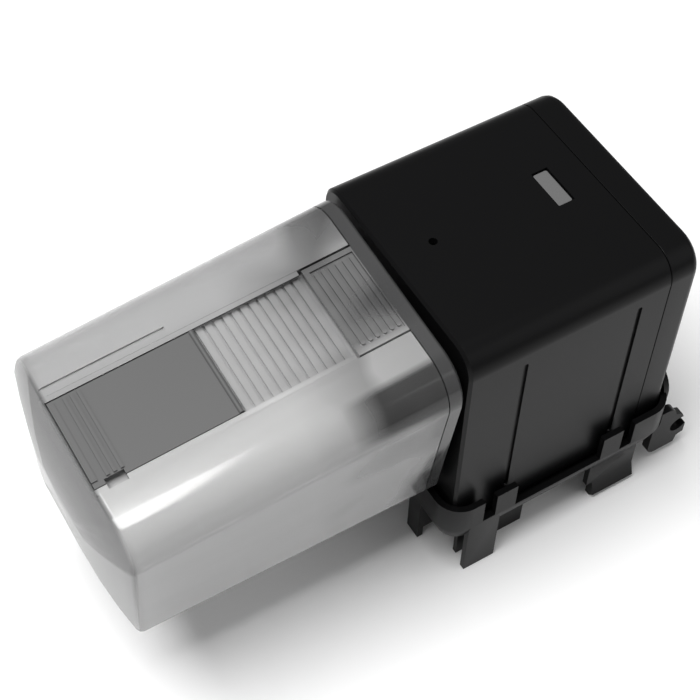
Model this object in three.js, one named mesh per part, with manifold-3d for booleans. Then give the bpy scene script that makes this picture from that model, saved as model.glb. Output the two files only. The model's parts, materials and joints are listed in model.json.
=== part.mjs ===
// Automatic fish feeder. A motor housing on a clip-on bracket slowly turns a clear food drum, which
// drops food through a slot that a sliding gate opens more or less.
// Millimetres, +Z up. In the feeder group x runs from the housing's front face to its rear, y is
// across, and z is measured from the underside of the bracket plate.
import * as THREE from "three";
import { mergeVertices } from "three/addons/utils/BufferGeometryUtils.js";
import Module from "manifold-3d";

const wasm = await Module();
wasm.setup();

// Clearances
const seatGap = 0.3; // between pieces that touch or slide on each other
const overlap = 0.2; // how far fused forms reach into each other

// Housing
const housingLength = 70.8; // front face to the back of the rear cover
const housingWidth = 70;
const housingTop = 82.2;
const housingWall = 2.2;
const topEdgeRadius = 7.8;
const footEdgeRadius = 3;
const frontEdgeBevel = 0.8;
const coverDepth = 9.4;
const coverSideRadius = 2.5;
const coverTopRadius = 1.6;
const coverLipLength = 4;
const coverLipWall = 1.4;
const grooveWidth = 1.5;
const grooveDepth = 0.6;
const grooveFromEdge = 17; // first groove, from the front face
const rearGrooveFromSeam = 9.1; // second groove, from the cover seam
const grooveTopDrop = 3.5; // from the end of the top edge's rounding
const grooveFoot = 14; // height of the grooves' lower ends

// Button, pinhole and board under the housing's top
const controlsSideways = 2.5; // both sit a little off the middle line
const buttonLength = 12.1;
const buttonWidth = 4.4;
const buttonFromSeam = 11.5;
const buttonRecess = 0.5;
const buttonFlange = 1.2;
const buttonTravel = 0.8;
const pinholeRadius = 1.2;
const pinholeFromFront = 12.8;
const boardDrop = 10.4; // housing top to the board's upper face
const boardThickness = 1.6;
const boardWidth = 52;
const boardFromWalls = 3;
const boardScrewInset = 4;
const radioLength = 18;
const radioWidth = 13;
const radioHeight = 2.4;
const switchSide = 6;
const switchHeight = 3.4;
const resetPlungerHeight = 1.5;
const resetPlungerRadius = 1.7;

// Drum
const drumAxisHeight = 51.7;
const drumGap = 1.8; // housing front face to the drum's end cap
const drumLength = 87.8; // end cap's face to where the free end starts to dome
const drumHalfWidth = 34.5;
const drumEndHalfWidth = 33.1;
const drumTop = 29.6; // above the axis, at the end cap
const drumEndTop = 22.6;
const drumFloor = 29.6; // below the axis, at the end cap
const drumEndFloor = 31;
const drumHalfFloor = 31.6;
const drumShoulderRadius = 11;
const drumFloorRadius = 3.5;
const drumDome = 6.9;
const drumEndRadius = 1.2;
const drumWall = 1.8;
const drumParkAngle = 4.5; // degrees that the drum rests past level
const capDepth = 4.1;
const capBevel = 0.7;
const plugDepth = 3;
const plugWall = 1.6;

// Channel, gate and tongue on the drum's top
const channelHalfWidth = 14.85;
const channelDepth = 2.8;
const channelFloor = 1.6;
const channelLength = 90; // from the end cap's face
const railWidth = 1.45;
const railThickness = 0.7;
const railDrop = 0.05;
const gripNotchStart = 3;
const gripNotchLength = 5.2;
const ribCount = 12;
const ribPitch = 2.5;
const ribWidth = 1.8;
const ribHeight = 0.9;
const ribsFromTongue = 1.2;
const gateLength = 39.9;
const gateFlange = 0.55;
const gateDrop = 0.25; // gate's top below the drum's top
const gateGripLength = 8.6;
const gateGripRidges = 3;
const gateRidgePitch = 1.9;
const gateRidgeWidth = 0.9;
const gateRidgeHeight = 0.5;
const gateBeadRadius = 0.75;
const outletLength = 23;
const outletHalfWidth = 11;
const outletFromGateEnd = 5.5;
const tongueLength = 14.5; // beyond the end cap
const tongueThickness = 1.5;
const tongueGap = 0.6; // to each side of the channel
const tongueSink = 0.1; // below the drum's top
const tongueFrame = 1.5;
const tongueRibs = 6;
const tongueRibPitch = 2.05;
const tongueRibWidth = 1.1;
const tonguePocket = 0.6;
const sideSlitLength = 34;
const sideSlitWidth = 0.8;
const sideSlitDepth = 0.7;
const sideSlitFromChannel = 2;

// Drive
const hubShaftRadius = 4;
const hubSplineRadius = 7.5;
const hubSplineReach = 5.6; // into the end cap
const hubCollarRadius = 12;
const bushWall = 2;
const bearingGap = 0.1;
const gearModule = 0.8;
const pressureAngle = 25;
const backlash = 0.14;
const pinionTeeth = 12;
const wheelTeeth = 30;
const outputTeeth = 36;
const outputGearFace = 5;
const wheelFace = 2.8;
const gearLayerGap = 0.4;
const axleRadius = 1;
const gearPlateThickness = 2;
const secondGearAngle = -60; // direction from the output gear to the second gear, degrees
const firstGearAngle = -150;
const motorRadius = 10;
const motorLength = 15.5;
const motorRoom = 1.3; // motor to the housing's side wall
const motorLean = 10; // least rise of the motor beside the first gear, degrees
const motorNub = 1.6;
const motorShaftRadius = 1;
const motorShaftReach = 5; // into the motor
const addendum = 0.9; // tooth height above the pitch circle, in modules
const dedendum = 1.2; // tooth depth below the pitch circle, in modules
const postRadius = 3;
const postFromFloor = 3.5;
const screwShank = 1.1;
const screwHead = 2.1;
const screwLength = 6;
const boardScrewLength = 5;
const threadRoom = 0.2; // screw shank to its hole
const plateBehindGear = 1.6; // last gear to the gear plate
const bossBeforeGear = 2.2; // housing wall to the output gear
const magnetRadius = 2;
const magnetThickness = 1.5;
const magnetFromAxis = 9;

// Power
const cellRadius = 7.1;
const cellLength = 49.2;
const cellNippleRadius = 2.7;
const cellNippleLength = 1.3;
const cradleWall = 1.4;
const cradleReach = 4; // into the rear cover
const contactThickness = 0.4;
const cellLoose = 0.4;
const springRoom = 5;
const springWire = 0.45;
const springTurns = 4;
const inletWidth = 9;
const inletHeight = 3.3;
const inletDepth = 7.4;
const inletFromFront = 38;

// Bracket
const plateThickness = 3;
const skirtGap = 1.5;
const skirtWall = 1.8;
const skirtCornerRadius = 8;
const skirtRim = 6.9;
const skirtHeight = 16.5;
const bandRecess = 2; // the skirt leans in by this much below its rim
const cornerTabLength = 11.5;
const sideTabLength = 6.8;
const tabSlot = 4;
const rearTabFromSeam = 2.4;
const rimBead = 0.6;
const sweepClearance = 2;
const legDrop = 16.3;
const outerLegWidth = 10.3;
const outerLegFromFront = 3.7;
const innerLegLength = 22.6;
const innerLegInset = 5.6;
const innerLegWall = 1.5;
const clipLegWidth = 16.5;
const clipLegFromRear = 6.8;
const clipLegInset = 2;
const clipBarb = 1.6;
const clipBarbHeight = 7;
const frontLegWidth = 5.4;
const frontLegSideways = 20;
const frontLegFromSkirt = 1.2;
const frontLegRib = 3.4;
const frontRibFoot = 4.5; // above the legs' feet
const lugInset = 3.2;
const lugWall = 2.6;
const lugReach = 10; // beyond the skirt
const lugTop = 6.5;
const lugFoot = 3; // above the legs' feet
const lugHook = 3; // under the bracket's rear edge
const notchRadius = 3;
const notchDrop = 4; // below the bracket's underside
const latchWidth = 68;
const latchTop = 25.5;
const latchRadius = 10;

// Solids
function solidOf(geometry) {
  const bare = geometry.clone();
  bare.deleteAttribute("normal");
  bare.deleteAttribute("uv");
  const merged = mergeVertices(bare, 1e-4);
  const triVerts = new Uint32Array(merged.index.array);
  return new wasm.Manifold(
    new wasm.Mesh({ numProp: 3, vertProperties: merged.attributes.position.array, triVerts }),
  );
}

function geometryOf(solid) {
  const mesh = solid.getMesh();
  const geometry = new THREE.BufferGeometry();
  geometry.setAttribute("position", new THREE.BufferAttribute(mesh.vertProperties, 3));
  geometry.setIndex(new THREE.BufferAttribute(mesh.triVerts, 1));
  const faceted = geometry.toNonIndexed();
  faceted.computeVertexNormals();
  return faceted;
}

function join(...pieces) {
  return geometryOf(pieces.map(solidOf).reduce((whole, piece) => whole.add(piece)));
}

function cut(base, ...tools) {
  return geometryOf(tools.map(solidOf).reduce((whole, tool) => whole.subtract(tool), solidOf(base)));
}

function common(a, b) {
  return geometryOf(solidOf(a).intersect(solidOf(b)));
}

// A box between two corners.
function box(x0, x1, y0, y1, z0, z1) {
  const geometry = new THREE.BoxGeometry(x1 - x0, y1 - y0, z1 - z0);
  return geometry.translate((x0 + x1) / 2, (y0 + y1) / 2, (z0 + z1) / 2);
}

// A shape drawn in y and z, extruded from x0 to x1.
function alongX(shape, x0, x1, curveSegments = 12) {
  const geometry = new THREE.ExtrudeGeometry(shape, { depth: x1 - x0, bevelEnabled: false, curveSegments });
  const turn = new THREE.Matrix4().makeBasis(
    new THREE.Vector3(0, 1, 0),
    new THREE.Vector3(0, 0, 1),
    new THREE.Vector3(1, 0, 0),
  );
  return geometry.applyMatrix4(turn).translate(x0, 0, 0);
}

// A shape drawn in x and z, extruded from y0 to y1.
function alongY(shape, y0, y1, curveSegments = 12) {
  const geometry = new THREE.ExtrudeGeometry(shape, { depth: y1 - y0, bevelEnabled: false, curveSegments });
  return geometry.rotateX(Math.PI / 2).translate(0, y1, 0);
}

// A shape drawn in x and y, extruded from z0 to z1.
function alongZ(shape, z0, z1, curveSegments = 12) {
  const geometry = new THREE.ExtrudeGeometry(shape, { depth: z1 - z0, bevelEnabled: false, curveSegments });
  return geometry.translate(0, 0, z0);
}

function rodX(radius, x0, x1, y = 0, z = 0, segments = 24) {
  const geometry = new THREE.CylinderGeometry(radius, radius, x1 - x0, segments);
  return geometry.rotateZ(-Math.PI / 2).translate((x0 + x1) / 2, y, z);
}

function rodZ(radius, z0, z1, x = 0, y = 0, segments = 24) {
  const geometry = new THREE.CylinderGeometry(radius, radius, z1 - z0, segments);
  return geometry.rotateX(Math.PI / 2).translate(x, y, (z0 + z1) / 2);
}

function roundedRectangle(x0, x1, y0, y1, radius) {
  const shape = new THREE.Shape();
  shape.moveTo(x0 + radius, y0);
  shape.lineTo(x1 - radius, y0);
  shape.absarc(x1 - radius, y0 + radius, radius, -Math.PI / 2, 0, false);
  shape.lineTo(x1, y1 - radius);
  shape.absarc(x1 - radius, y1 - radius, radius, 0, Math.PI / 2, false);
  shape.lineTo(x0 + radius, y1);
  shape.absarc(x0 + radius, y1 - radius, radius, Math.PI / 2, Math.PI, false);
  shape.lineTo(x0, y0 + radius);
  shape.absarc(x0 + radius, y0 + radius, radius, Math.PI, Math.PI * 1.5, false);
  return shape;
}

function polygon(points) {
  return new THREE.Shape(points.map(([x, y]) => new THREE.Vector2(x, y)));
}

// Skins rings of equal length, given in order along +x and anticlockwise about it, and closes each
// end with a fan about its centre.
function loft(rings) {
  const count = rings[0].length;
  const centre = (ring) => [0, 1, 2].map((k) => ring.reduce((sum, point) => sum + point[k], 0) / count);
  const points = [...rings.flat(), centre(rings[0]), centre(rings[rings.length - 1])];
  const start = rings.length * count;
  const end = start + 1;
  const lastRing = start - count;
  const faces = [];
  for (let i = 0; i < count; i++) {
    const next = (i + 1) % count;
    faces.push(start, next, i, end, lastRing + i, lastRing + next);
    for (let ring = 0; ring < lastRing; ring += count) {
      faces.push(ring + i, ring + next, ring + count + next);
      faces.push(ring + i, ring + count + next, ring + count + i);
    }
  }
  const geometry = new THREE.BufferGeometry();
  geometry.setAttribute("position", new THREE.Float32BufferAttribute(points.flat(), 3));
  geometry.setIndex(faces);
  return geometry;
}

// Points of an arc about (y, z), both ends included.
function arcPoints(y, z, radius, fromDegrees, toDegrees, segments) {
  return Array.from({ length: segments + 1 }, (_, i) => {
    const angle = THREE.MathUtils.degToRad(THREE.MathUtils.lerp(fromDegrees, toDegrees, i / segments));
    return [y + radius * Math.cos(angle), z + radius * Math.sin(angle)];
  });
}

// Completes a right-hand half outline with its mirror image.
function withMirror(half) {
  return [...half, ...half.map(([y, z]) => [-y, z]).reverse()];
}

const at = (x, outline) => outline.map(([y, z]) => [x, y, z]);

// Housing
const housingFoot = plateThickness + seatGap;
const seamX = housingLength - coverDepth;
const buttonX = seamX - buttonFromSeam;
const halfWidth = housingWidth / 2;

function housingOutline(inset, topRadius = topEdgeRadius, footRadius = footEdgeRadius) {
  const side = halfWidth - inset;
  const top = housingTop - inset;
  const foot = housingFoot + inset;
  const upper = Math.max(topRadius - inset, 0.6);
  const lower = Math.max(footRadius - inset, 0.6);
  return withMirror([
    ...arcPoints(side - lower, foot + lower, lower, -90, 0, 4),
    ...arcPoints(side - upper, top - upper, upper, 0, 90, 9),
  ]);
}

const boardTop = housingTop - boardDrop;
const boardBottom = boardTop - boardThickness;
const boardFront = housingWall + boardFromWalls;
const boardRear = seamX - coverLipLength - boardFromWalls;
const boardScrews = [
  [boardFront + boardScrewInset, -boardWidth / 2 + boardScrewInset + 1],
  [boardRear - boardScrewInset, boardWidth / 2 - boardScrewInset - 1],
];

// Gear train: motor pinion, first and second double gears, output gear.
const pinionPitch = (pinionTeeth * gearModule) / 2;
const wheelPitch = (wheelTeeth * gearModule) / 2;
const outputPitch = (outputTeeth * gearModule) / 2;
const outputCentre = new THREE.Vector2(0, drumAxisHeight);
const polar = (radius, degrees) =>
  new THREE.Vector2(radius, 0).rotateAround(new THREE.Vector2(), THREE.MathUtils.degToRad(degrees));
const secondCentre = polar(outputPitch + pinionPitch, secondGearAngle).add(outputCentre);
const firstCentre = polar(wheelPitch + pinionPitch, firstGearAngle).add(secondCentre);
const motorSpan = wheelPitch + pinionPitch;
const motorLimit = halfWidth - housingWall - motorRoom - motorRadius;
const motorReach = motorSpan * Math.cos(THREE.MathUtils.degToRad(motorLean));
const motorAcross = Math.min(firstCentre.x + motorLimit, motorReach);
const motorRise = Math.sqrt(motorSpan ** 2 - motorAcross ** 2);
const motorCentre = new THREE.Vector2(firstCentre.x - motorAcross, firstCentre.y + motorRise);
const outputGearX = housingWall + bossBeforeGear;
const secondWheelX = outputGearX + outputGearFace + gearLayerGap;
const firstWheelX = secondWheelX + wheelFace + gearLayerGap;
const gearPlateX = firstWheelX + wheelFace + plateBehindGear;
const motorX = gearPlateX + gearPlateThickness + seatGap;
const gearPlatePosts = [
  [-26, drumAxisHeight + 8],
  [26, drumAxisHeight - 8],
  [wheelPitch, housingFoot + housingWall + postRadius + postFromFloor],
];

// Involute spur gear outline. The tooth numbered 0 is centred on the angle given.
function gearShape(teeth, boreRadius, toothAngle) {
  const pitch = (teeth * gearModule) / 2;
  const pressure = THREE.MathUtils.degToRad(pressureAngle);
  const base = pitch * Math.cos(pressure);
  const root = pitch - dedendum * gearModule;
  const tip = pitch + addendum * gearModule;
  const involute = (angle) => Math.tan(angle) - angle;
  const pitchHalf = (Math.PI * gearModule) / 4 - backlash / 4;
  const halfAngle = (radius) => {
    const lean = Math.acos(Math.min(1, base / radius));
    return pitchHalf / pitch + involute(pressure) - involute(lean);
  };
  const radii = root < base ? [root, base, (pitch + base) / 2, tip] : [root, pitch, tip];
  const points = [];
  for (let tooth = 0; tooth < teeth; tooth++) {
    const middle = toothAngle + (tooth * 2 * Math.PI) / teeth;
    const rising = radii.map((radius) => [radius, middle - halfAngle(Math.max(radius, base))]);
    const falling = radii.map((radius) => [radius, middle + halfAngle(Math.max(radius, base))]).reverse();
    for (const [radius, angle] of [...rising, ...falling])
      points.push([radius * Math.cos(angle), radius * Math.sin(angle)]);
  }
  const shape = polygon(points);
  const bore = new THREE.Path();
  bore.absarc(0, 0, boreRadius, 0, 2 * Math.PI, true);
  shape.holes.push(bore);
  return shape;
}

// The angle of tooth 0 on a gear that meshes with a driver whose tooth 0 stands at driverAngle.
function meshAngle(driver, driven, driverTeeth, drivenTeeth, driverAngle) {
  const towards = driven.clone().sub(driver).angle();
  const lag = (towards - driverAngle) * (driverTeeth / drivenTeeth);
  return towards + Math.PI + lag + Math.PI / drivenTeeth;
}

function housingShell() {
  const outer = loft([
    at(0, housingOutline(frontEdgeBevel)),
    at(frontEdgeBevel, housingOutline(0)),
    at(seamX - seatGap / 2, housingOutline(0)),
  ]);
  const hollow = housingOutline(housingWall);
  const inner = loft([at(housingWall, hollow), at(seamX + 1, hollow)]);
  const grooves = [];
  const grooveTop = housingTop - topEdgeRadius - grooveTopDrop;
  for (const x of [grooveFromEdge, seamX - rearGrooveFromSeam]) {
    const outline = roundedRectangle(
      x - grooveWidth / 2,
      x + grooveWidth / 2,
      grooveFoot,
      grooveTop,
      grooveWidth / 2 - 0.01,
    );
    grooves.push(alongY(outline, -halfWidth - 1, -halfWidth + grooveDepth, 3));
    grooves.push(alongY(outline, halfWidth - grooveDepth, halfWidth + 1, 3));
  }
  const buttonHole = box(
    buttonX - buttonWidth / 2 - seatGap,
    buttonX + buttonWidth / 2 + seatGap,
    controlsSideways - buttonLength / 2 - seatGap,
    controlsSideways + buttonLength / 2 + seatGap,
    housingTop - housingWall - 1,
    housingTop + 1,
  );
  const roofFrom = housingTop - housingWall - 1;
  const pinhole = rodZ(pinholeRadius, roofFrom, housingTop + 1, pinholeFromFront, controlsSideways);
  const shaftHoleRadius = hubShaftRadius + bearingGap + bushWall + seatGap;
  const shaftHole = rodX(shaftHoleRadius, -1, housingWall + 1, 0, drumAxisHeight, 32);
  const inletHole = box(
    inletFromFront - inletWidth / 2 - seatGap,
    inletFromFront + inletWidth / 2 + seatGap,
    halfWidth - housingWall - 1,
    halfWidth + 1,
    boardTop,
    boardTop + seatGap + inletHeight + seatGap,
  );
  const shell = cut(outer, inner, ...grooves, buttonHole, pinhole, shaftHole, inletHole);
  const posts = gearPlatePosts.map(([y, z]) =>
    cut(
      rodX(postRadius, housingWall - overlap, gearPlateX - seatGap, y, z, 16),
      rodX(screwShank + threadRoom, gearPlateX - 8, gearPlateX + 1, y, z, 12),
    ),
  );
  const bosses = boardScrews.map(([x, y]) =>
    cut(
      rodZ(postRadius, boardTop + seatGap, housingTop - housingWall + overlap, x, y, 16),
      rodZ(screwShank + threadRoom, boardTop - 1, boardTop + 5, x, y, 12),
    ),
  );
  const axleBosses = [secondCentre, firstCentre].map((centre) =>
    cut(
      rodX(axleRadius + 1.6, housingWall - overlap, outputGearX - gearLayerGap, centre.x, centre.y, 16),
      rodX(axleRadius + bearingGap, housingWall, outputGearX, centre.x, centre.y, 12),
    ),
  );
  return join(shell, ...posts, ...bosses, ...axleBosses);
}

function rearCover() {
  const bulge = (turn) => {
    const angle = THREE.MathUtils.degToRad(turn);
    const sideways = coverSideRadius * (1 - Math.cos(angle));
    const upright = coverTopRadius * (1 - Math.cos(angle));
    const middle = (housingTop + housingFoot) / 2;
    const half = (housingTop - housingFoot) / 2;
    const outline = housingOutline(0).map(([y, z]) => [
      y * (1 - sideways / halfWidth),
      middle + (z - middle) * (1 - upright / half),
    ]);
    return at(housingLength - coverSideRadius * (1 - Math.sin(angle)), outline);
  };
  const outer = loft([
    at(seamX + seatGap / 2, housingOutline(0)),
    bulge(0),
    bulge(30),
    bulge(60),
    bulge(90),
  ]);
  const inside = housingOutline(housingWall + seatGap + coverLipWall);
  const inner = loft([at(seamX - coverLipLength - 1, inside), at(housingLength - housingWall, inside)]);
  const lip = loft([
    at(seamX - coverLipLength, housingOutline(housingWall + seatGap)),
    at(seamX + seatGap / 2 + overlap, housingOutline(housingWall + seatGap)),
  ]);
  return cut(join(outer, lip), inner);
}

// Drum
const capFace = -drumGap;
const capInner = capFace - capDepth;
const mouthX = capInner - seatGap;
const drumEndX = capFace - drumLength;
const deckSlope = Math.atan((drumTop - drumEndTop) / drumLength);

function drumSection(x, inset) {
  const t = (capFace - x) / drumLength;
  const top = THREE.MathUtils.lerp(drumTop, drumEndTop, t) - inset;
  const bottom = -THREE.MathUtils.lerp(drumFloor, drumEndFloor, t) + inset;
  const side = THREE.MathUtils.lerp(drumHalfWidth, drumEndHalfWidth, t) - inset;
  const foot = side - (drumHalfWidth - drumHalfFloor);
  const shoulder = drumShoulderRadius - inset;
  const corner = Math.max(drumFloorRadius - inset, 0.4);
  const outline = withMirror([
    ...arcPoints(foot - corner, bottom + corner, corner, -90, -4, 6),
    ...arcPoints(side - shoulder, top - shoulder, shoulder, 0, 90, 9),
  ]);
  return { outline, top, bottom, side };
}

// The domed free end, as rings from its middle to where the straight wall starts.
function drumEndRings(inset) {
  const { outline, top, bottom, side } = drumSection(drumEndX, inset);
  const middle = (top + bottom) / 2;
  const half = (top - bottom) / 2;
  const rounding = Math.max(drumEndRadius - inset, 0.4);
  const ring = (inwards, setBack) =>
    outline.map(([y, z]) => {
      const v = z - middle;
      const across = y * (1 - inwards / side);
      const upright = v * (1 - inwards / half);
      const level = (across / side) ** 2 + (upright / half) ** 2;
      return [drumEndX + inset - drumDome * (1 - level / 2) + setBack, across, middle + upright];
    });
  return [
    ring(half * 0.75, 0),
    ring(half * 0.5, 0),
    ring(half * 0.25, 0),
    ring(rounding, 0),
    ring(rounding * 0.3, rounding * 0.3),
    ring(0, rounding),
  ];
}

// Moves a form made on a level deck onto the drum's sloping top. The deck's x = 0 is the end cap's
// face, and its z = 0 is the drum's top surface.
function onDeck(geometry) {
  return geometry.rotateY(-deckSlope).translate(capFace, 0, drumTop);
}

const gateEnd = -channelLength + seatGap;
const gateLip = gateEnd + gateLength;
const tongueTip = -(capDepth + tongueLength);
const gateUnder = -(channelDepth - ribHeight - seatGap);

function channelCut(grow = 0) {
  return box(
    -channelLength - grow,
    10,
    -channelHalfWidth - grow,
    channelHalfWidth + grow,
    -channelDepth - grow,
    10,
  );
}

function drumShell() {
  const outer = loft([...drumEndRings(0), at(mouthX, drumSection(mouthX, 0).outline)]);
  const inner = loft([...drumEndRings(drumWall), at(mouthX + 2, drumSection(mouthX + 2, drumWall).outline)]);
  const channelBed = box(
    -channelLength - drumEndRadius,
    12,
    -channelHalfWidth - drumWall,
    channelHalfWidth + drumWall,
    -channelDepth - channelFloor,
    12,
  );
  const hopper = cut(inner, onDeck(channelBed));
  const outletStart = gateEnd + outletFromGateEnd + gateGripLength;
  const outlet = box(
    outletStart,
    outletStart + outletLength,
    -outletHalfWidth,
    outletHalfWidth,
    -channelDepth - channelFloor - 2,
    2,
  );
  const slitY = channelHalfWidth + sideSlitFromChannel;
  const slit = box(
    gateEnd,
    gateEnd + sideSlitLength,
    slitY,
    slitY + sideSlitWidth,
    -sideSlitDepth,
    2,
  );
  const shell = cut(outer, hopper, onDeck(channelCut()), onDeck(outlet), onDeck(slit));
  const rails = [-1, 1].map((side) => {
    const inside = side * (channelHalfWidth - railWidth);
    const outside = side * (channelHalfWidth + overlap);
    const rail = box(
      -channelLength - overlap,
      tongueTip - 1,
      Math.min(inside, outside),
      Math.max(inside, outside),
      -railThickness - railDrop,
      -railDrop,
    );
    return onDeck(rail);
  });
  const ribs = Array.from({ length: ribCount }, (_, i) => {
    const x = tongueTip - ribsFromTongue - ribWidth - i * ribPitch;
    return onDeck(
      box(
        x,
        x + ribWidth,
        -channelHalfWidth - overlap,
        channelHalfWidth + overlap,
        -channelDepth - overlap,
        -channelDepth + ribHeight,
      ),
    );
  });
  const gripNotch = box(
    gateEnd + gripNotchStart,
    gateEnd + gripNotchStart + gripNotchLength,
    -channelHalfWidth,
    -channelHalfWidth + railWidth + 1,
    -channelDepth + overlap,
    2,
  );
  return cut(join(shell, ...rails, ...ribs), onDeck(gripNotch));
}

function dosingGate() {
  const wide = channelHalfWidth - seatGap;
  const narrow = channelHalfWidth - railWidth - seatGap;
  const flangeTop = gateUnder + gateFlange;
  const profile = polygon([
    [-wide, gateUnder],
    [wide, gateUnder],
    [wide, flangeTop],
    [narrow, flangeTop],
    [narrow, -gateDrop],
    [-narrow, -gateDrop],
    [-narrow, flangeTop],
    [-wide, flangeTop],
  ]);
  const plate = alongX(profile, gateEnd, gateLip);
  const gripHalf = narrow - 0.6;
  const ridge = (x, width) =>
    box(x, x + width, -gripHalf + 1, gripHalf, -gateDrop - overlap, -gateDrop + gateRidgeHeight);
  const ridges = Array.from({ length: gateGripRidges }, (_, i) =>
    ridge(gateEnd + gateGripLength - gateRidgeWidth - i * gateRidgePitch, gateRidgeWidth),
  );
  const bar = ridge(gateEnd, 1.6);
  const bead = new THREE.CylinderGeometry(gateBeadRadius, gateBeadRadius, 2 * narrow, 12);
  bead.translate(gateLip - gateBeadRadius, 0, -gateDrop - 0.15);
  const notch = box(
    gateEnd + gripNotchStart,
    gateEnd + gripNotchStart + gripNotchLength,
    -wide - 1,
    -narrow + 1.3,
    gateUnder - 1,
    gateRidgeHeight + 1,
  );
  return onDeck(cut(join(plate, bar, ...ridges, bead), notch));
}

function endCap() {
  const band = loft([
    at(capInner, drumSection(capInner, 0).outline),
    at(capFace - capBevel, drumSection(capFace - capBevel, 0).outline),
    at(capFace, drumSection(capFace, capBevel).outline),
  ]);
  const plugOutline = (inset) => (x) => at(x, drumSection(x, drumWall + seatGap + inset).outline);
  const plugOuter = plugOutline(0);
  const plugInner = plugOutline(plugWall);
  const plugRoom = onDeck(
    box(
      -40,
      2,
      -channelHalfWidth - drumWall - seatGap,
      channelHalfWidth + drumWall + seatGap,
      -channelDepth - channelFloor - seatGap,
      12,
    ),
  );
  const plug = cut(
    loft([plugOuter(capInner - plugDepth), plugOuter(capInner + overlap)]),
    loft([plugInner(capInner - plugDepth - 1), plugInner(capInner + 1)]),
    common(plugRoom, box(capInner - 20, capInner, -50, 50, 0, 50)),
  );
  const boss = rodX(hubSplineRadius + 3, capInner - 2.6, capInner + overlap, 0, 0, 32);
  const socket = rodX(hubSplineRadius + seatGap, capFace - hubSplineReach - seatGap, capFace + 1, 0, 0, 6);
  const tongue = box(
    tongueTip,
    -capDepth + overlap,
    -channelHalfWidth + tongueGap,
    channelHalfWidth - tongueGap,
    -tongueThickness - tongueSink,
    -tongueSink,
  );
  const pocketStart = tongueTip + tongueFrame;
  const pocket = box(
    pocketStart,
    -capDepth - 0.6,
    -channelHalfWidth + tongueGap + tongueFrame,
    channelHalfWidth - tongueGap - tongueFrame,
    -tongueSink - tonguePocket,
    1,
  );
  const padRibs = Array.from({ length: tongueRibs }, (_, i) => {
    const x = pocketStart + 0.6 + i * tongueRibPitch;
    const reach = channelHalfWidth - tongueGap - tongueFrame - 0.7;
    const outline = roundedRectangle(x, x + tongueRibWidth, -reach, reach, tongueRibWidth / 2 - 0.01);
    return onDeck(alongZ(outline, -tongueSink - tonguePocket - overlap, -tongueSink, 3));
  });
  const pad = cut(onDeck(tongue), onDeck(pocket));
  return cut(join(band, plug, boss, pad, ...padRibs), socket);
}

// The hub drives the end cap through a six-sided spline and carries the output gear on its shaft.
function driveHub() {
  const spline = rodX(hubSplineRadius, capFace - hubSplineReach, -seatGap - overlap, 0, 0, 6);
  const collar = rodX(hubCollarRadius, capFace + seatGap, -seatGap, 0, 0, 32);
  const shaft = rodX(hubShaftRadius, -seatGap - overlap, secondWheelX, 0, 0, 24);
  return join(spline, collar, shaft);
}

function bush() {
  const outer = hubShaftRadius + bearingGap + bushWall;
  const ring = (radius, x0, x1) => rodX(radius, x0, x1, 0, 0, 24);
  const sleeve = ring(outer, 0.4, outputGearX - 1.5);
  const flange = ring(outer + 1.5, housingWall + seatGap, outputGearX - 0.7);
  const body = join(sleeve, flange);
  return cut(body, ring(hubShaftRadius + bearingGap, -1, outputGearX + 1));
}

// Bracket
function footprint(inset) {
  const radius = skirtCornerRadius - inset;
  return roundedRectangle(
    -skirtGap - skirtWall + inset,
    housingLength + skirtGap + skirtWall - inset,
    -halfWidth - skirtGap - skirtWall + inset,
    halfWidth + skirtGap + skirtWall - inset,
    radius,
  );
}

// The farthest any point of the drum reaches from its axis.
function drumSweep() {
  const points = [...drumSection(capFace, 0).outline, ...drumSection(drumEndX, 0).outline];
  return Math.max(...points.map(([y, z]) => Math.hypot(y, z)));
}

// The bracket's outside: it leans in below the rim line.
function tub() {
  const leaning = new THREE.ExtrudeGeometry(footprint(bandRecess), {
    depth: skirtHeight,
    bevelThickness: skirtRim - 1,
    bevelSize: bandRecess,
    bevelSegments: 1,
    curveSegments: 4,
  });
  const far = housingLength + housingWidth;
  return common(leaning.translate(0, 0, skirtRim - 1), box(-far, far, -far, far, 0, skirtHeight));
}

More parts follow.
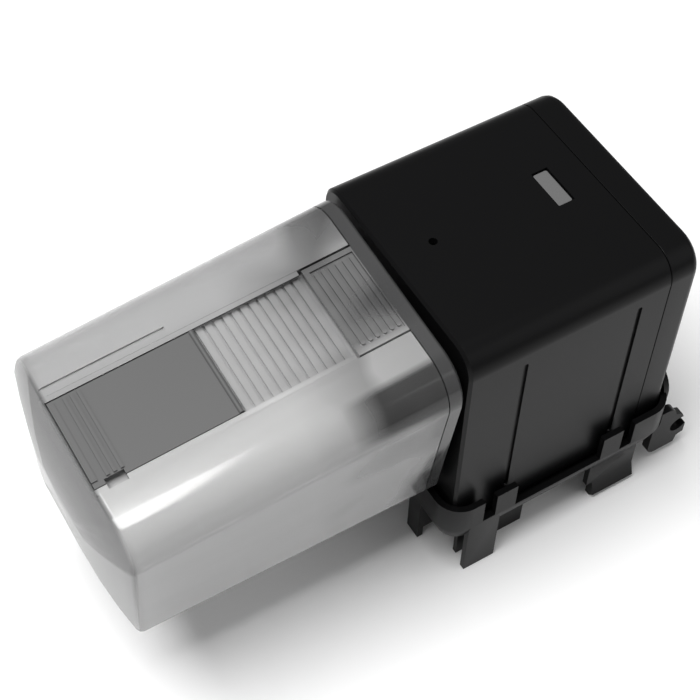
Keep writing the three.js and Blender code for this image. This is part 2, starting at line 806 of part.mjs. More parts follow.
function bracket() {
  const outerY = halfWidth + skirtGap + skirtWall;
  const outerX = skirtGap + skirtWall;
  const tray = cut(
    tub(),
    alongZ(footprint(skirtWall), plateThickness, skirtHeight + 1, 4),
  );
  const firstSlot = cornerTabLength - outerX;
  const lastSlot = seamX - rearTabFromSeam;
  const windows = [
    [firstSlot, firstSlot + tabSlot],
    [firstSlot + tabSlot + sideTabLength, lastSlot - tabSlot - sideTabLength],
    [lastSlot - tabSlot, lastSlot],
  ].map(([x0, x1]) => box(x0, x1, -outerY - 1, outerY + 1, skirtRim, skirtHeight + 1));
  const sweep = rodX(drumSweep() + sweepClearance, -outerX - 1, 0, 0, drumAxisHeight, 64);
  const skirt = cut(tray, ...windows, sweep);
  const latchShape = roundedRectangle(-latchWidth / 2, latchWidth / 2, plateThickness, latchTop, latchRadius);
  const latch = alongX(latchShape, housingLength + skirtGap, housingLength + skirtGap + skirtWall, 6);
  const legs = [];
  for (const side of [-1, 1]) {
    const plate = (x0, x1, inset, wall, z0, z1) => {
      const a = side * (outerY - inset);
      const b = side * (outerY - inset - wall);
      return box(x0, x1, Math.min(a, b), Math.max(a, b), z0, z1);
    };
    const outerLegEnd = outerLegFromFront + outerLegWidth;
    legs.push(plate(outerLegFromFront, outerLegEnd, 0, skirtWall, -legDrop, skirtRim - 1));
    const innerStart = outerLegFromFront + 1;
    legs.push(plate(innerStart, innerStart + innerLegLength, innerLegInset, innerLegWall, -legDrop, overlap));
    const clipRear = housingLength - clipLegFromRear;
    const clipFront = clipRear - clipLegWidth;
    const barbTop = -legDrop + clipBarbHeight;
    legs.push(plate(clipFront, clipRear, clipLegInset, skirtWall, barbTop - overlap, overlap));
    const barb = polygon([
      [0, -legDrop],
      [skirtWall, -legDrop],
      [skirtWall + clipBarb, -legDrop + 2],
      [skirtWall, barbTop],
      [0, barbTop],
    ]);
    const hook = alongX(barb, clipFront + 2, clipRear);
    const inner = side * (outerY - clipLegInset - skirtWall);
    legs.push(side > 0 ? hook.translate(0, inner, 0) : mirrorY(hook).translate(0, inner, 0));
    const legY = side * frontLegSideways;
    const legX = -outerX + frontLegFromSkirt;
    const legSide = legY - frontLegWidth / 2;
    const legTop = plateThickness - 0.5;
    legs.push(box(legX, legX + skirtWall, legSide, legSide + frontLegWidth, -legDrop, legTop));
    const ribFront = legX + skirtWall - overlap;
    const ribEnd = legX + skirtWall + frontLegRib;
    legs.push(box(ribFront, ribEnd, legSide, legSide + innerLegWall, -legDrop + frontRibFoot, overlap));
    legs.push(clipLug().translate(0, side * (outerY - lugInset - lugWall / 2), 0));
  }
  return join(skirt, latch, ...legs);
}

function mirrorY(geometry) {
  const mirrored = geometry.clone().scale(1, -1, 1);
  const position = mirrored.getAttribute("position");
  for (let i = 0; i < position.count; i += 3) {
    const swap = new THREE.Vector3().fromBufferAttribute(position, i + 1);
    const other = new THREE.Vector3().fromBufferAttribute(position, i + 2);
    position.setXYZ(i + 1, other.x, other.y, other.z);
    position.setXYZ(i + 2, swap.x, swap.y, swap.z);
  }
  return mirrored;
}

// A lug behind the bracket with a round notch, open to the rear, that grips a rod.
function clipLug() {
  const rear = housingLength + skirtGap + skirtWall;
  const front = rear - lugHook;
  const tip = rear + lugReach;
  const foot = -legDrop + lugFoot;
  const outline = new THREE.Shape();
  outline.moveTo(front, foot + 3);
  outline.absarc(front + 3, foot + 3, 3, Math.PI, Math.PI * 1.5, false);
  outline.lineTo(tip - 3, foot);
  outline.lineTo(tip - 2.4, foot + 3);
  outline.lineTo(tip, foot + 3.6);
  outline.lineTo(tip, -notchDrop);
  outline.lineTo(tip - 2.4, -notchDrop + notchRadius + 2);
  outline.absarc(rear + 1, lugTop - 4, 4, 0, Math.PI / 2, false);
  outline.lineTo(rear - skirtWall / 2, lugTop);
  outline.lineTo(rear - skirtWall / 2, 1);
  outline.lineTo(front, 1);
  const body = alongY(outline, -lugWall / 2, lugWall / 2, 5);
  const notch = new THREE.CylinderGeometry(notchRadius, notchRadius, lugWall + 2, 20);
  const mouth = box(0, lugReach, -lugWall, lugWall, -notchRadius * 0.5, notchRadius);
  const opening = join(notch, mouth).translate(tip - notchRadius, 0, -notchDrop);
  return cut(body, opening);
}

// Inner pieces
function screw(length = screwLength) {
  const profile = [
    [0, -length],
    [screwShank * 0.5, -length],
    [screwShank, -length + 1],
    [screwShank, 0],
    [screwHead, 0],
    [screwHead, 0.7],
    [screwHead * 0.7, 1.3],
    [0, 1.3],
  ].map(([radius, height]) => new THREE.Vector2(radius, height));
  const body = new THREE.LatheGeometry(profile, 10);
  const cross = [box(-0.35, 0.35, 0.7, 2, -1.2, 1.2), box(-1.2, 1.2, 0.7, 2, -0.35, 0.35)];
  return cut(body, ...cross);
}

function doubleGear(wheelAngle, pinionAngle, wheelX, pinionFrom, pinionTo) {
  const bore = axleRadius + bearingGap;
  return join(
    alongX(gearShape(wheelTeeth, bore, wheelAngle), wheelX, wheelX + wheelFace, 6),
    alongX(gearShape(pinionTeeth, bore, pinionAngle), pinionFrom, pinionTo, 6),
  );
}

function gearPlate() {
  const outline = new THREE.Shape();
  const left = Math.min(motorCentre.x - motorRadius, gearPlatePosts[0][0] - 4);
  outline.moveTo(left, motorCentre.y - motorRadius);
  outline.lineTo(gearPlatePosts[2][0] - 4, gearPlatePosts[2][1] - 4);
  outline.lineTo(gearPlatePosts[2][0] + 5, gearPlatePosts[2][1] - 4);
  outline.lineTo(gearPlatePosts[1][0] + 4, gearPlatePosts[1][1] - 5);
  outline.lineTo(gearPlatePosts[1][0] + 4, gearPlatePosts[1][1] + 4);
  outline.lineTo(10, drumAxisHeight + 12);
  outline.lineTo(left, gearPlatePosts[0][1] + 4);
  const plate = alongX(outline, gearPlateX, gearPlateX + gearPlateThickness);
  const hole = (radius, y, z) => rodX(radius, gearPlateX - 1, gearPlateX + gearPlateThickness + 1, y, z, 16);
  return cut(
    plate,
    ...gearPlatePosts.map(([y, z]) => hole(screwShank + threadRoom, y, z)),
    ...[secondCentre, firstCentre].map((centre) => hole(axleRadius + bearingGap, centre.x, centre.y)),
    hole(pinionPitch + gearModule + 0.5, motorCentre.x, motorCentre.y),
  );
}

function axle() {
  return rodX(axleRadius, housingWall + 0.3, gearPlateX + gearPlateThickness, 0, 0, 12);
}

function motorCan() {
  const profile = [
    [0, 0],
    [motorRadius - 1, 0],
    [motorRadius, 1],
    [motorRadius, motorLength - 1],
    [motorRadius - 1, motorLength],
    [3, motorLength],
    [3, motorLength + motorNub],
    [0, motorLength + motorNub],
  ].map(([radius, height]) => new THREE.Vector2(radius, height));
  const can = new THREE.LatheGeometry(profile, 24).rotateZ(-Math.PI / 2);
  return cut(can, rodX(motorShaftRadius + seatGap, -1, motorShaftReach + 1, 0, 0, 12));
}

function motorPinion(toothAngle) {
  const start = firstWheelX - 0.2;
  const end = gearPlateX + gearPlateThickness - 0.4;
  const teeth = alongX(gearShape(pinionTeeth, motorShaftRadius * 0.8, toothAngle), start, end, 4);
  return join(teeth, rodX(motorShaftRadius, start, motorX + motorShaftReach, 0, 0, 12));
}

const cradleRear = seamX + cradleReach;
const cradleFoot = housingFoot + housingWall + seatGap;
const cradleBottom = cradleFoot + coverLipWall + seatGap;
const cellX = cradleRear - cellRadius - cellLoose;
const lowerCell = cradleBottom + cradleWall + cellRadius + cellLoose;
const cellPitch = 2 * (cellRadius + cellLoose);
const cradleInside = (cellLength + cellNippleLength + springRoom) / 2;
const cradleHalf = cradleInside + cradleWall;
const contactFace = cradleInside - seatGap / 2 - contactThickness;
const cellShift = contactFace - seatGap - cellNippleLength - cellLength / 2;
const springSpan = contactFace + cellShift - cellLength / 2 - 2 * (seatGap + springWire);

function cradle() {
  const front = cellX - cellRadius - cellLoose - cradleWall;
  const high = lowerCell + cellPitch + cellRadius + cellLoose + cradleWall;
  const body = box(front, cradleRear, -cradleHalf, cradleHalf, cradleBottom, high);
  const footRear = seamX - coverLipLength - seatGap;
  const foot = box(front, footRear, -cradleHalf, cradleHalf, cradleFoot, cradleBottom + overlap);
  const room = box(
    front + cradleWall,
    cradleRear + 1,
    -cradleInside,
    cradleInside,
    cradleBottom + cradleWall,
    high - cradleWall,
  );
  const divider = box(
    front + cradleWall - overlap,
    cellX - 3,
    -cradleInside - overlap,
    cradleInside + overlap,
    lowerCell + cellPitch / 2 - cellLoose / 2,
    lowerCell + cellPitch / 2 + cellLoose / 2,
  );
  return join(cut(join(body, foot), room), divider);
}

// A dry cell along +y with its raised contact at the +y end, centred on its barrel.
function cell() {
  const half = cellLength / 2;
  const profile = [
    [0, -half],
    [cellRadius - 0.5, -half],
    [cellRadius, -half + 0.5],
    [cellRadius, half - 0.5],
    [cellRadius - 0.5, half],
    [cellNippleRadius, half],
    [cellNippleRadius, half + cellNippleLength],
    [0, half + cellNippleLength],
  ].map(([radius, height]) => new THREE.Vector2(radius, height));
  return new THREE.LatheGeometry(profile, 20);
}

class Coil extends THREE.Curve {
  constructor(wide, narrow, height, turns) {
    super();
    Object.assign(this, { wide, narrow, height, turns });
  }
  getPoint(t, target = new THREE.Vector3()) {
    const angle = t * this.turns * 2 * Math.PI;
    const radius = THREE.MathUtils.lerp(this.wide, this.narrow, t);
    return target.set(radius * Math.cos(angle), t * this.height, radius * Math.sin(angle));
  }
}

function contactSpring() {
  const path = new Coil(cellRadius - 2.6, 1.6, springSpan, springTurns);
  const wire = new THREE.Shape().absarc(0, 0, springWire, 0, 2 * Math.PI, false);
  const steps = springTurns * 11;
  return new THREE.ExtrudeGeometry(wire, { steps, extrudePath: path, curveSegments: 3, bevelEnabled: false });
}

function contactPlate() {
  const half = cellRadius - 1.2;
  return box(-half, half, 0, contactThickness, -half, half);
}

function board() {
  const outline = roundedRectangle(boardFront, boardRear, -boardWidth / 2, boardWidth / 2, 2);
  const plate = alongZ(outline, boardBottom, boardTop, 3);
  const hole = ([x, y]) => rodZ(screwShank + 0.3, boardBottom - 1, boardTop + 1, x, y, 12);
  return cut(plate, ...boardScrews.map(hole));
}

function tactSwitch() {
  return box(-switchSide / 2, switchSide / 2, -switchSide / 2, switchSide / 2, 0, switchHeight);
}

function feedButton() {
  const top = housingTop - buttonRecess;
  const under = housingTop - housingWall - seatGap;
  const halfX = buttonWidth / 2;
  const halfY = buttonLength / 2;
  const face = alongZ(roundedRectangle(-halfX, halfX, -halfY, halfY, 0.6), under - overlap, top, 3);
  const flange = box(
    -halfX - buttonFlange,
    halfX + buttonFlange,
    -halfY - buttonFlange,
    halfY + buttonFlange,
    under - 1,
    under,
  );
  const stemFoot = boardTop + seatGap + switchHeight + buttonTravel + 0.2;
  return join(face, flange, rodZ(1.6, stemFoot, under - 1 + overlap, 0, 0, 16));
}

function inlet() {
  const outer = roundedRectangle(-inletWidth / 2, inletWidth / 2, 0, inletHeight, inletHeight / 2 - 0.05);
  const mouth = roundedRectangle(
    -inletWidth / 2 + 0.5,
    inletWidth / 2 - 0.5,
    0.5,
    inletHeight - 0.5,
    inletHeight / 2 - 0.55,
  );
  const tongueHalf = inletWidth / 2 - 1.3;
  const middle = inletHeight / 2;
  const tongue = box(-tongueHalf, tongueHalf, -inletDepth + 0.5, -1, middle - 0.35, middle + 0.35);
  return join(cut(alongY(outer, -inletDepth, 0, 6), alongY(mouth, -inletDepth + 1, 1, 6)), tongue);
}

// Assembly
const paint = (color, roughness, metalness = 0) => ({ color, roughness, metalness });
const blackPlastic = paint(0x151515, 0.42);
const smokePlastic = paint(0xa8a8a6, 0.12);
const greyPlastic = paint(0x7a7a7a, 0.5);
const gearPlastic = paint(0xe6e2d6, 0.45);
const steel = paint(0xb8b8b8, 0.3, 1);
const circuitGreen = paint(0x1c5a35, 0.5);
const batteryBlue = paint(0x2b4a7c, 0.35);

function piece(name, geometry, look, x = 0, y = 0, z = 0) {
  const mesh = new THREE.Mesh(geometry, new THREE.MeshStandardMaterial(look));
  mesh.name = name;
  mesh.position.set(x, y, z);
  return mesh;
}

const feeder = new THREE.Group();
feeder.position.x = -housingLength / 2;
const housing = new THREE.Group();
const drum = new THREE.Group();
drum.position.z = drumAxisHeight;
drum.rotation.x = THREE.MathUtils.degToRad(drumParkAngle);
feeder.add(housing, drum);

feeder.add(piece("base_bracket", bracket(), blackPlastic));
housing.add(piece("main_housing", housingShell(), blackPlastic));
housing.add(piece("rear_cover", rearCover(), blackPlastic));
drum.add(piece("drum_shell", drumShell(), smokePlastic));
drum.add(piece("dosing_gate", dosingGate(), greyPlastic));
drum.add(piece("end_cap", endCap(), smokePlastic));
drum.add(piece("drive_hub", driveHub(), blackPlastic));
housing.add(piece("hub_bush", bush(), gearPlastic, 0, 0, drumAxisHeight));

const motorTooth = 0;
const firstWheelTooth = meshAngle(motorCentre, firstCentre, pinionTeeth, wheelTeeth, motorTooth);
const firstPinionTooth = 0.1;
const secondWheelTooth = meshAngle(firstCentre, secondCentre, pinionTeeth, wheelTeeth, firstPinionTooth);
const secondPinionTooth = 0.2;
const outputTooth = meshAngle(secondCentre, outputCentre, pinionTeeth, outputTeeth, secondPinionTooth);

const magnetFloor = outputGearX + outputGearFace - magnetThickness - seatGap;
const magnetHole = rodX(magnetRadius + 0.1, magnetFloor, outputGearX + 20, magnetFromAxis, 0, 20);
const outputGear = cut(
  alongX(
    gearShape(outputTeeth, hubShaftRadius + seatGap / 3, outputTooth),
    outputGearX,
    outputGearX + outputGearFace,
    8,
  ),
  magnetHole,
);
housing.add(piece("output_gear", outputGear, gearPlastic, 0, outputCentre.x, outputCentre.y));
const magnet = rodX(
  magnetRadius,
  magnetFloor + 0.1,
  magnetFloor + 0.1 + magnetThickness,
  magnetFromAxis,
  0,
  20,
);
housing.add(piece("home_magnet", magnet, steel, 0, outputCentre.x, outputCentre.y));
const secondGear = doubleGear(
  secondWheelTooth,
  secondPinionTooth,
  secondWheelX,
  outputGearX - gearLayerGap / 2,
  secondWheelX + overlap,
);
housing.add(piece("reduction_gear_2", secondGear, gearPlastic, 0, secondCentre.x, secondCentre.y));
const firstGear = doubleGear(
  firstWheelTooth,
  firstPinionTooth,
  firstWheelX,
  secondWheelX,
  firstWheelX + overlap,
);
housing.add(piece("reduction_gear_1", firstGear, gearPlastic, 0, firstCentre.x, firstCentre.y));
housing.add(piece("motor_pinion", motorPinion(motorTooth), steel, 0, motorCentre.x, motorCentre.y));
housing.add(piece("gear_axle_1", axle(), steel, 0, firstCentre.x, firstCentre.y));
housing.add(piece("gear_axle_2", axle(), steel, 0, secondCentre.x, secondCentre.y));
housing.add(piece("gear_plate", gearPlate(), greyPlastic));
housing.add(piece("motor", motorCan(), steel, motorX, motorCentre.x, motorCentre.y));
gearPlatePosts.forEach(([y, z], i) => {
  const fastener = screw().rotateZ(-Math.PI / 2);
  const seat = gearPlateX + gearPlateThickness + 0.1;
  housing.add(piece(`gear_plate_screw_${i + 1}`, fastener, steel, seat, y, z));
});

housing.add(piece("control_board", board(), circuitGreen));
boardScrews.forEach(([x, y], i) => {
  const fastener = screw(boardScrewLength).rotateX(-Math.PI / 2);
  housing.add(piece(`board_screw_${i + 1}`, fastener, steel, x, y, boardBottom - 0.1));
});
const onBoard = boardTop + seatGap;
housing.add(piece("feed_switch", tactSwitch(), blackPlastic, buttonX, controlsSideways, onBoard));
housing.add(piece("reset_switch", tactSwitch(), blackPlastic, pinholeFromFront, controlsSideways, onBoard));
const plungerFoot = onBoard + switchHeight + 0.35;
const plunger = rodZ(resetPlungerRadius, 0, resetPlungerHeight, 0, 0, 16);
housing.add(piece("reset_plunger", plunger, greyPlastic, pinholeFromFront, controlsSideways, plungerFoot));
housing.add(piece("feed_button", feedButton(), greyPlastic, buttonX, controlsSideways, 0));
const radio = box(-radioLength / 2, radioLength / 2, -radioWidth / 2, radioWidth / 2, 0, radioHeight);
housing.add(piece("radio_module", radio, steel, boardFront + 20, -boardWidth / 2 + 10, onBoard));
housing.add(piece("power_inlet", inlet(), steel, inletFromFront, halfWidth - 0.4, onBoard));

housing.add(piece("battery_cradle", cradle(), blackPlastic));
for (const [index, z] of [lowerCell, lowerCell + cellPitch].entries()) {
  const turned = index === 1;
  const facing = (geometry) => (turned ? geometry.rotateX(Math.PI) : geometry);
  const towards = turned ? -1 : 1;
  const add = (name, geometry, look, y) => {
    housing.add(piece(`${name}_${index + 1}`, facing(geometry), look, cellX, towards * y, z));
  };
  add("battery", cell(), batteryBlue, cellShift);
  add("contact_plate", contactPlate(), steel, contactFace);
  add("spring_plate", contactPlate(), steel, -contactFace - contactThickness);
  add("battery_spring", contactSpring(), steel, -contactFace + seatGap + springWire);
}

export default feeder;
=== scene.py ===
# Aquarium feeder: a smoke-tinted food drum on a black motor housing that sits in a clip-on bracket.
import json
import math

import bmesh
import bpy
from mathutils import Euler, Matrix, Vector


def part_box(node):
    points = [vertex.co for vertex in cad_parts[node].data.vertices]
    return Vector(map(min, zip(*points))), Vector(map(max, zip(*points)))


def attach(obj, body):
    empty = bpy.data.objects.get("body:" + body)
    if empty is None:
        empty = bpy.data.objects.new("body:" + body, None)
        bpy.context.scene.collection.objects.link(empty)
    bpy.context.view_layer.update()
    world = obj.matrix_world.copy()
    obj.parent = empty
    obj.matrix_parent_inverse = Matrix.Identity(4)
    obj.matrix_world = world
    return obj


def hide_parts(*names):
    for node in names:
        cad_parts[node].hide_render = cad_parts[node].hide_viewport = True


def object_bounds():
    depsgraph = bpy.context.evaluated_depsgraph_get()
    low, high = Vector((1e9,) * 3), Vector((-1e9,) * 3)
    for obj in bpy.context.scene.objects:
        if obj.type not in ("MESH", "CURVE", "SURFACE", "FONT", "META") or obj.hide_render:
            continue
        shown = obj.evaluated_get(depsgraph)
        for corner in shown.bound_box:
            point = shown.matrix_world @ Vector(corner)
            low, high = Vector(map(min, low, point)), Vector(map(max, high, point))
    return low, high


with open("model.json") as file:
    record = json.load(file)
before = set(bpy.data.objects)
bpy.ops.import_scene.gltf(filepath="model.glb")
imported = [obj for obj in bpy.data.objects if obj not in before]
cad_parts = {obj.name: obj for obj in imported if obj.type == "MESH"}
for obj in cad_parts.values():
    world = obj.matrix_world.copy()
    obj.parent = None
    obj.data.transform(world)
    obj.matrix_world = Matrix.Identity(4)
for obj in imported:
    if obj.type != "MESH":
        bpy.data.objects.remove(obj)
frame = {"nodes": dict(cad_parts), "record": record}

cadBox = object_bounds()
mm = 0.001
nodes = frame["nodes"]
record = frame["record"]
bodyOf = {node: body for body, members in record["behaviour"]["bodies"].items() for node in members}
slotOf = {part["node"]: part["material_slot"] for part in record["subparts"]}
jointOf = {joint["name"]: joint for joint in record["behaviour"]["joints"]}


def newGroup(name, inputs, outputs):
    group = bpy.data.node_groups.new(name, "ShaderNodeTree")
    for label, value in inputs.items():
        kind = "NodeSocketColor" if isinstance(value, tuple) else "NodeSocketFloat"
        socket = group.interface.new_socket(label, in_out="INPUT", socket_type=kind)
        socket.default_value = value
    for label, kind in outputs.items():
        group.interface.new_socket(label, in_out="OUTPUT", socket_type=kind)
    start = group.nodes.new("NodeGroupInput")
    end = group.nodes.new("NodeGroupOutput")
    return group, start, end


def wire(tree, source, target):
    tree.links.new(source, target)


def mathNode(tree, operation, first, second=None, third=None, clamp=False):
    node = tree.nodes.new("ShaderNodeMath")
    node.operation = operation
    node.use_clamp = clamp
    for socket, value in zip(node.inputs, (first, second, third)):
        if value is None:
            continue
        if isinstance(value, (int, float)):
            socket.default_value = value
        else:
            wire(tree, value, socket)
    return node.outputs[0]


def blendColour(tree, factor, first, second):
    node = tree.nodes.new("ShaderNodeMix")
    node.data_type = "RGBA"
    for socket, value in ((node.inputs[0], factor), (node.inputs[6], first), (node.inputs[7], second)):
        if isinstance(value, (int, float, tuple)):
            socket.default_value = value
        else:
            wire(tree, value, socket)
    return node.outputs[2]


def stretchedNoise(tree, stretch, scale, detail=2.0, roughness=0.5):
    place = tree.nodes.new("ShaderNodeTexCoord")
    mapping = tree.nodes.new("ShaderNodeMapping")
    mapping.inputs["Scale"].default_value = stretch
    wire(tree, place.outputs["Object"], mapping.inputs["Vector"])
    noise = tree.nodes.new("ShaderNodeTexNoise")
    wire(tree, mapping.outputs[0], noise.inputs["Vector"])
    if isinstance(scale, (int, float)):
        noise.inputs["Scale"].default_value = scale
    else:
        wire(tree, scale, noise.inputs["Scale"])
    noise.inputs["Detail"].default_value = detail
    noise.inputs["Roughness"].default_value = roughness
    return noise.outputs["Fac"]


def mouldGrainGroup():
    # fine spark-eroded texture with slow blotches, as a moulding takes from its tool
    group, start, end = newGroup(
        "mouldGrain",
        {"Grain": 1800.0, "Blotch": 60.0, "Rough": 0.4, "Rough Swing": 0.1},
        {"Roughness": "NodeSocketFloat", "Height": "NodeSocketFloat", "Blotches": "NodeSocketFloat"},
    )
    fine = stretchedNoise(group, (1, 1, 1), start.outputs["Grain"], detail=3.0, roughness=0.6)
    slow = stretchedNoise(group, (1, 1, 1), start.outputs["Blotch"], detail=2.0)
    swing = mathNode(group, "SUBTRACT", slow, 0.5)
    grainSwing = mathNode(group, "MULTIPLY", mathNode(group, "SUBTRACT", fine, 0.5), 0.5)
    both = mathNode(group, "ADD", swing, grainSwing)
    rough = mathNode(group, "MULTIPLY_ADD", both, start.outputs["Rough Swing"], start.outputs["Rough"])
    wire(group, rough, end.inputs["Roughness"])
    wire(group, fine, end.inputs["Height"])
    wire(group, slow, end.inputs["Blotches"])
    return group


def flowGroup():
    # long faint streaks along the drum, where the melt ran, and cloudy patches
    group, start, end = newGroup(
        "meltFlow",
        {"Streak": 90.0, "Cloud": 22.0},
        {"Streaks": "NodeSocketFloat", "Clouds": "NodeSocketFloat"},
    )
    streaks = stretchedNoise(group, (0.12, 1, 1), start.outputs["Streak"], detail=3.0)
    clouds = stretchedNoise(group, (1, 1, 1), start.outputs["Cloud"], detail=3.0, roughness=0.55)
    wire(group, streaks, end.inputs["Streaks"])
    wire(group, clouds, end.inputs["Clouds"])
    return group


grainGroup = mouldGrainGroup()
meltGroup = flowGroup()


def newMaterial(name):
    material = bpy.data.materials.new(name)
    material.use_nodes = True
    tree = material.node_tree
    return material, tree, tree.nodes["Principled BSDF"]


def placeGroup(tree, group, **values):
    node = tree.nodes.new("ShaderNodeGroup")
    node.node_tree = group
    for label, value in values.items():
        node.inputs[label.replace("_", " ")].default_value = value
    return node


def bumpFrom(tree, height, shader, strength, distance):
    bump = tree.nodes.new("ShaderNodeBump")
    bump.inputs["Strength"].default_value = strength
    bump.inputs["Distance"].default_value = distance
    wire(tree, height, bump.inputs["Height"])
    wire(tree, bump.outputs[0], shader.inputs["Normal"])


mouldingSkin = {
    "blotchScale": 55.0,
    "grainDepth": 0.00004,
    "bump": 0.25,
}


def mouldedPlastic(name, colour, blotch, rough, swing=0.12, grain=1800.0, gloss=0.5):
    material, tree, shader = newMaterial(name)
    grainNode = placeGroup(
        tree, grainGroup, Grain=grain, Blotch=mouldingSkin["blotchScale"], Rough=rough, Rough_Swing=swing
    )
    ground = blendColour(tree, grainNode.outputs["Blotches"], (*colour, 1), (*blotch, 1))
    wire(tree, ground, shader.inputs["Base Color"])
    wire(tree, grainNode.outputs["Roughness"], shader.inputs["Roughness"])
    bumpFrom(tree, grainNode.outputs["Height"], shader, mouldingSkin["bump"], mouldingSkin["grainDepth"])
    shader.inputs["Specular IOR Level"].default_value = gloss
    return material


smoke = {
    "colour": (0.60, 0.60, 0.60),
    "cloudy": (0.54, 0.54, 0.541),
    "cloudGain": 2.2,
    "streakScale": 95.0,
    "cloudScale": 26.0,
    "streakDepth": 0.0001,
    "streakBump": 0.02,
    # painted shade colour for the channel's walls
    "groove": (0.09, 0.09, 0.091),
    "transmission": 0.55,
    "ior": 1.46,
    "rough": 0.07,
    "roughSwing": 0.06,
}
# painted highlight on the near shoulder
shoulderHighlight = {
    "colour": (0.75, 0.75, 0.746),
    "foot": 0.0655,
    "soft": 0.013,
    "lean": 0.12,  # the painted highlight's lower edge rises towards the mouth
    "aside": 0.013,
    "rise": 300.0,
}
# painted shade on the domed end
domeShade = {"colour": (0.20, 0.20, 0.201), "reach": 0.0055, "rise": 900.0}
# painted shade by the mouth and over the cap
mouthShade = {
    "colour": (0.10, 0.10, 0.101),
    "reach": 0.036,
    "stretch": (0.8, 1, 1),
    "patchScale": 58.0,
    "patchStart": 0.42,
    "patchRise": 5.0,
    "patchAmount": 0.6,
    "least": 0.3,
    "onCap": 0.93,
    "capRise": 4000.0,
}
# painted reflection of the dark housing on the near shoulder
shoulderReflection = {
    "colour": (0.03, 0.03, 0.0301),
    "reach": 0.026,
    "soft": 0.010,
    "aside": 0.0255,
    "foot": 0.068,
    "rise": 450.0,
    "amount": 0.88,
}
capSmoke = {
    "colour": (0.34, 0.34, 0.34),
    "cloudy": (0.28, 0.28, 0.281),
    "groove": (0.07, 0.07, 0.071),
}


def rampNode(tree, value, start, rise):
    # 0 before start, 1 after it, with the given rise between
    return mathNode(tree, "MULTIPLY_ADD", value, rise, -start * rise, clamp=True)


def smokyPlastic(name, shade):
    # smoke-tinted plastic, with painted highlight, painted shade and painted reflection patches laid over
    # it one after another
    material, tree, shader = newMaterial(name)
    flow = placeGroup(tree, meltGroup, Streak=smoke["streakScale"], Cloud=smoke["cloudScale"])
    mixed = mathNode(tree, "MULTIPLY", flow.outputs["Streaks"], flow.outputs["Clouds"])
    cloudy = mathNode(tree, "MULTIPLY", mixed, smoke["cloudGain"], clamp=True)
    ground = blendColour(tree, cloudy, (*shade["colour"], 1), (*shade["cloudy"], 1))
    place = tree.nodes.new("ShaderNodeTexCoord")
    split = tree.nodes.new("ShaderNodeSeparateXYZ")
    wire(tree, place.outputs["Object"], split.inputs[0])
    x, y, z = split.outputs
    nearY = mathNode(tree, "MULTIPLY", y, -1.0)
    freeEnd, mouth = (corner.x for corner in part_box("drum_shell"))

    # painted reflection: a pale band painted along the near shoulder, standing in for the light that the
    # real shoulder reflects
    lean = shoulderHighlight["lean"]
    height = mathNode(tree, "SUBTRACT", z, mathNode(tree, "MULTIPLY_ADD", x, lean, -freeEnd * lean))
    raised = rampNode(tree, height, shoulderHighlight["foot"] - shoulderHighlight["soft"] / 2, 1 / shoulderHighlight["soft"])
    nearSide = rampNode(tree, nearY, shoulderHighlight["aside"], shoulderHighlight["rise"])
    highlightMask = mathNode(tree, "MULTIPLY", raised, nearSide)
    ground = blendColour(tree, highlightMask, ground, (*shoulderHighlight["colour"], 1))

    # painted shade: the domed end is coloured darker
    domeShadeMask = rampNode(tree, mathNode(tree, "MULTIPLY", x, -1.0), -freeEnd - domeShade["reach"], domeShade["rise"])
    ground = blendColour(tree, domeShadeMask, ground, (*domeShade["colour"], 1))

    # painted shade: dark patches painted by the mouth, standing in for the dark insides seen through the
    # wall
    towardMouth = rampNode(tree, x, mouth - mouthShade["reach"], 1 / mouthShade["reach"])
    patches = stretchedNoise(tree, mouthShade["stretch"], mouthShade["patchScale"], detail=1.0, roughness=0.5)
    broken = rampNode(tree, patches, mouthShade["patchStart"], mouthShade["patchRise"])
    spread = mathNode(tree, "MULTIPLY_ADD", broken, mouthShade["patchAmount"], mouthShade["least"])
    mouthShadeMask = mathNode(tree, "MULTIPLY", towardMouth, spread)
    ground = blendColour(tree, mouthShadeMask, ground, (*mouthShade["colour"], 1))

    # painted reflection: a dark band painted on the near shoulder beside the mouth, where the real drum
    # shows the dark housing
    beside = rampNode(tree, x, mouth - shoulderReflection["reach"], 1 / shoulderReflection["soft"])
    rounded = rampNode(tree, nearY, shoulderReflection["aside"], shoulderReflection["rise"])
    lifted = rampNode(tree, z, shoulderReflection["foot"], shoulderReflection["rise"])
    darkReflectionMask = mathNode(tree, "MULTIPLY", mathNode(tree, "MULTIPLY", beside, rounded), lifted)
    darkReflectionMask = mathNode(tree, "MULTIPLY", darkReflectionMask, shoulderReflection["amount"])
    ground = blendColour(tree, darkReflectionMask, ground, (*shoulderReflection["colour"], 1))

    # painted shade: the cap beyond the mouth is coloured nearly all the way to the same dark
    onCap = mathNode(tree, "MULTIPLY", rampNode(tree, x, mouth, mouthShade["capRise"]), mouthShade["onCap"])
    ground = blendColour(tree, onCap, ground, (*mouthShade["colour"], 1))
    # painted shade: the marked wall faces are coloured dark
    grooveShadeMask = tree.nodes.new("ShaderNodeAttribute")
    grooveShadeMask.attribute_name = "groove"
    ground = blendColour(tree, grooveShadeMask.outputs["Fac"], ground, (*shade["groove"], 1))
    wire(tree, ground, shader.inputs["Base Color"])
    rough = mathNode(tree, "MULTIPLY_ADD", flow.outputs["Streaks"], smoke["roughSwing"], smoke["rough"])
    wire(tree, rough, shader.inputs["Roughness"])
    bumpFrom(tree, flow.outputs["Streaks"], shader, smoke["streakBump"], smoke["streakDepth"])
    shader.inputs["Transmission Weight"].default_value = smoke["transmission"]
    shader.inputs["IOR"].default_value = smoke["ior"]
    return material


metalSkin = {
    "roughSwing": 0.2,
    "bump": 0.08,
    "scratchDepth": 0.00005,
}


